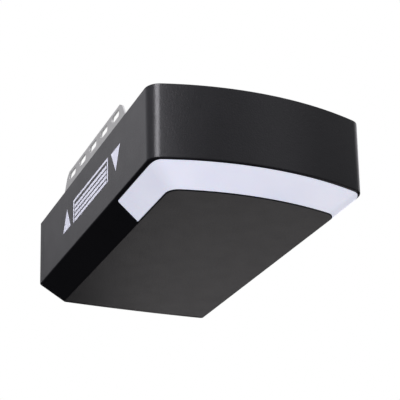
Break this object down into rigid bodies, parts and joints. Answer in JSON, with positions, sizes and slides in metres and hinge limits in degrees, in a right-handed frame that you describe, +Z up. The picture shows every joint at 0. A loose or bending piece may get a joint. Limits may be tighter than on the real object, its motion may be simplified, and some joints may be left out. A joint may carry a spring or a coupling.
{
  "type": "garage door opener",
  "caption": "Ceiling-hung garage door opener head: black bowed housing, lit strip under its front edge, slotted steel hangers, worm-geared motor and rail seat.",
  "frame": {"origin": "middle of the base, under the bottom panel, centred in length and width", "axes": "+Z up as hung, +Y towards the rear cap, -Y towards the bowed front with the light"},
  "size_m": [0.2556, 0.432, 0.1439],
  "materials": {
    "black_plastic": "satin moulded, fine grain",
    "milky_lens": "opal, satin",
    "white_plastic": "satin",
    "zinc_plate": "galvanised, fine spangle",
    "dark_steel": "blackened, satin",
    "bright_steel": "zinc plated, bright",
    "cast_alloy": "as cast, matt",
    "nylon": "moulded nylon",
    "copper": "lacquered windings",
    "ferrite": "sintered, matt",
    "yellow_tape": "taped winding",
    "board_green": "solder-masked board",
    "relay_blue": "smooth",
    "terminal_green": "moulded",
    "sleeve_black": "smooth moulded",
    "button_grey": "moulded",
    "button_red": "moulded",
    "contact_brass": "stamped, bright"
  },
  "bodies": {
    "housing": {"cover_shell": "black_plastic", "rear_cap": "black_plastic", "light_lens": "milky_lens", "light_tray": "white_plastic", "led_strip": "white_plastic", "chassis_plate": "zinc_plate", "hanger_bracket_left": "zinc_plate", "hanger_bracket_right": "zinc_plate", "rail_saddle": "zinc_plate", "bracket_bolt_left_1": "bright_steel", "bracket_bolt_left_2": "bright_steel", "bracket_bolt_right_1": "bright_steel", "bracket_bolt_right_2": "bright_steel", "saddle_bolt_1": "bright_steel", "saddle_bolt_2": "bright_steel", "gearbox_bolt_1": "bright_steel", "gearbox_bolt_2": "bright_steel", "gearbox_bolt_3": "bright_steel", "cover_screw_1": "bright_steel", "cover_screw_2": "bright_steel", "cover_screw_3": "bright_steel", "cover_screw_4": "bright_steel", "cap_screw_1": "bright_steel", "cap_screw_2": "bright_steel", "gearbox_housing": "cast_alloy", "gearbox_cover": "cast_alloy", "bearing_upper": "bright_steel", "bearing_lower": "bright_steel", "motor_can": "zinc_plate", "motor_end_cap": "sleeve_black", "motor_magnet_left": "ferrite", "motor_magnet_right": "ferrite", "transformer_core": "yellow_tape", "transformer_dish": "zinc_plate", "transformer_bolt": "bright_steel", "control_board": "board_green", "relay_1": "relay_blue", "relay_2": "relay_blue", "capacitor": "sleeve_black", "terminal_block": "terminal_green", "button_board": "board_green", "power_inlet": "sleeve_black", "inlet_pin_live": "contact_brass", "inlet_pin_earth": "contact_brass", "inlet_pin_neutral": "contact_brass"},
    "drive": {"worm_wheel": "nylon", "output_shaft": "bright_steel", "drive_sprocket": "dark_steel"},
    "rotor": {"worm_shaft": "bright_steel", "armature": "copper", "commutator": "copper", "encoder_disc": "sleeve_black"},
    "up_button": {"button_up": "button_grey"},
    "down_button": {"button_down": "button_grey"},
    "learn_button": {"button_learn": "button_red"}
  },
  "joints": [
    {"name": "motor_spin", "type": "hinge", "parent": "housing", "child": "rotor", "pos_m": [0.041, -0.05, 0.075], "axis": [0, 1, 0], "continuous": true},
    {"name": "drive_spin", "type": "hinge", "parent": "housing", "child": "drive", "pos_m": [0, -0.05, 0.075], "axis": [0, 0, 1], "continuous": true},
    {"name": "up_press", "type": "slide", "parent": "housing", "child": "up_button", "axis": [0, -1, 0], "range_m": [0, 0.0015], "stiffness_N_per_m": 400},
    {"name": "down_press", "type": "slide", "parent": "housing", "child": "down_button", "axis": [0, -1, 0], "range_m": [0, 0.0015], "stiffness_N_per_m": 400},
    {"name": "learn_press", "type": "slide", "parent": "housing", "child": "learn_button", "axis": [0, -1, 0], "range_m": [0, 0.0015], "stiffness_N_per_m": 400}
  ],
  "couplings": [
    {"joint": "drive_spin", "follows": "motor_spin", "ratio": 0.03125}
  ]
}
